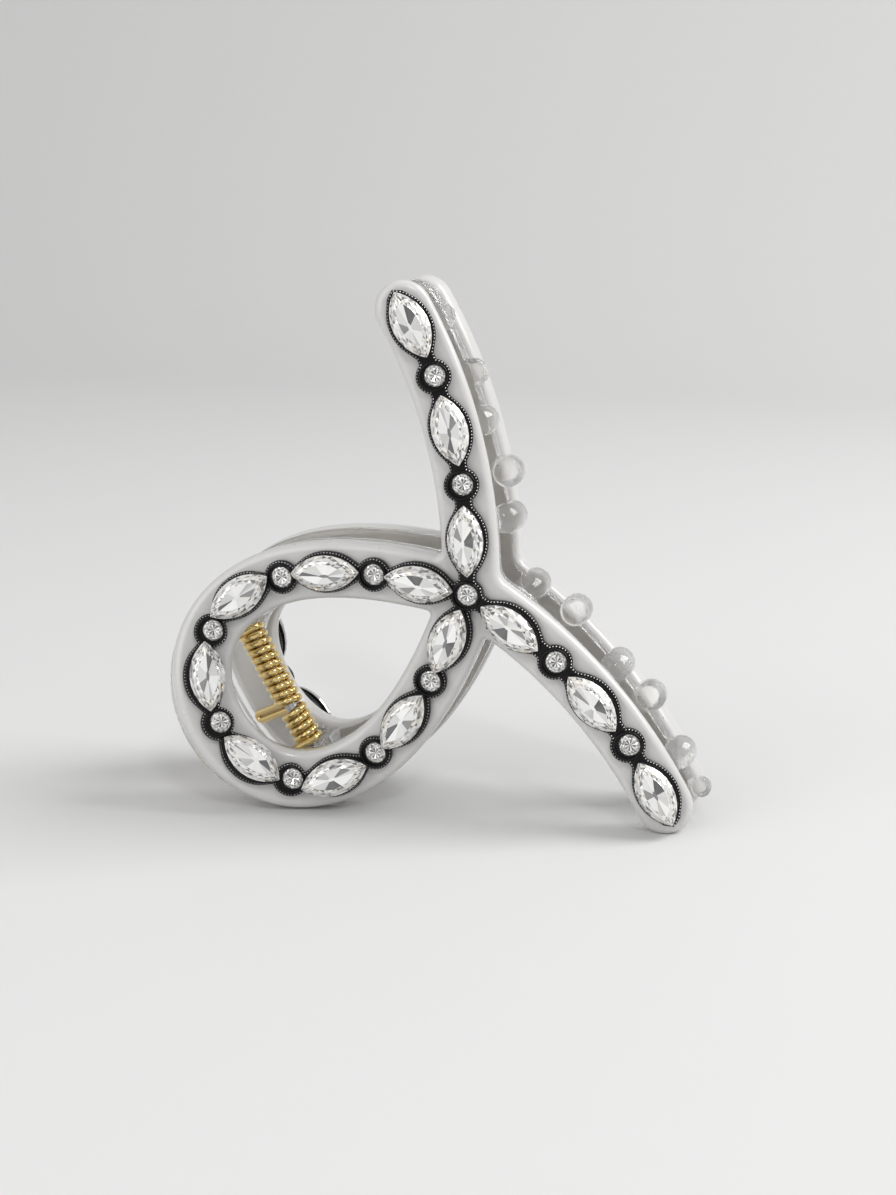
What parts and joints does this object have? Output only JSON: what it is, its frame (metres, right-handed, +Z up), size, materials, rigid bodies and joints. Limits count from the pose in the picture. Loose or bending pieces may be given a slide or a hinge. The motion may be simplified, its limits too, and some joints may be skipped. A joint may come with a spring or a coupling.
{
  "type": "hair claw clip",
  "caption": "Ribbon-shaped hair claw with two hinged jaws, a pale cover on each, a dark setting strip of clear crystals, clear interlocking teeth and a torsion spring.",
  "frame": {"origin": "centre of the bounding box's base, on the table the claw stands on", "axes": "+Z up from the table; +X from the loop's handle end towards the toothed arms; -Y out of the front jaw's decorated face"},
  "size_m": [0.0764, 0.0344, 0.0745],
  "materials": {
    "cover": "glossy pale grey-white resin",
    "frame": "clear moulded plastic",
    "setting": "glossy black",
    "crystal": "faceted and foil backed",
    "spring": "bright drawn wire",
    "pin": "plain turned"
  },
  "bodies": {
    "front_jaw": {"front_cover": "cover", "front_crossing_chaton": "crystal", "front_frame": "frame", "front_handle_chaton": "crystal", "front_lower_arm_chaton_1": "crystal", "front_lower_arm_chaton_2": "crystal", "front_lower_arm_navette_1": "crystal", "front_lower_arm_navette_2": "crystal", "front_lower_arm_navette_3": "crystal", "front_lower_loop_chaton_1": "crystal", "front_lower_loop_chaton_2": "crystal", "front_lower_loop_chaton_3": "crystal", "front_lower_loop_navette_1": "crystal", "front_lower_loop_navette_2": "crystal", "front_lower_loop_navette_3": "crystal", "front_lower_loop_navette_4": "crystal", "front_setting": "setting", "front_upper_arm_chaton_1": "crystal", "front_upper_arm_chaton_2": "crystal", "front_upper_arm_navette_1": "crystal", "front_upper_arm_navette_2": "crystal", "front_upper_arm_navette_3": "crystal", "front_upper_loop_chaton_1": "crystal", "front_upper_loop_chaton_2": "crystal", "front_upper_loop_chaton_3": "crystal", "front_upper_loop_navette_1": "crystal", "front_upper_loop_navette_2": "crystal", "front_upper_loop_navette_3": "crystal", "front_upper_loop_navette_4": "crystal", "hinge_pin": "pin", "torsion_spring": "spring"},
    "back_jaw": {"back_cover": "cover", "back_crossing_chaton": "crystal", "back_frame": "frame", "back_handle_chaton": "crystal", "back_lower_arm_chaton_1": "crystal", "back_lower_arm_chaton_2": "crystal", "back_lower_arm_navette_1": "crystal", "back_lower_arm_navette_2": "crystal", "back_lower_arm_navette_3": "crystal", "back_lower_loop_chaton_1": "crystal", "back_lower_loop_chaton_2": "crystal", "back_lower_loop_chaton_3": "crystal", "back_lower_loop_navette_1": "crystal", "back_lower_loop_navette_2": "crystal", "back_lower_loop_navette_3": "crystal", "back_lower_loop_navette_4": "crystal", "back_setting": "setting", "back_upper_arm_chaton_1": "crystal", "back_upper_arm_chaton_2": "crystal", "back_upper_arm_navette_1": "crystal", "back_upper_arm_navette_2": "crystal", "back_upper_arm_navette_3": "crystal", "back_upper_loop_chaton_1": "crystal", "back_upper_loop_chaton_2": "crystal", "back_upper_loop_chaton_3": "crystal", "back_upper_loop_navette_1": "crystal", "back_upper_loop_navette_2": "crystal", "back_upper_loop_navette_3": "crystal", "back_upper_loop_navette_4": "crystal"}
  },
  "joints": [
    {"name": "jaw_hinge", "type": "hinge", "parent": "front_jaw", "child": "back_jaw", "pos_m": [-0.02505, 0, 0.01528], "axis": [-0.4916, 0, 0.8708], "range_deg": [0, 50], "stiffness_Nm_per_rad": 0.12, "springref_deg": -34.38, "deforming": ["torsion_spring"]}
  ]
}
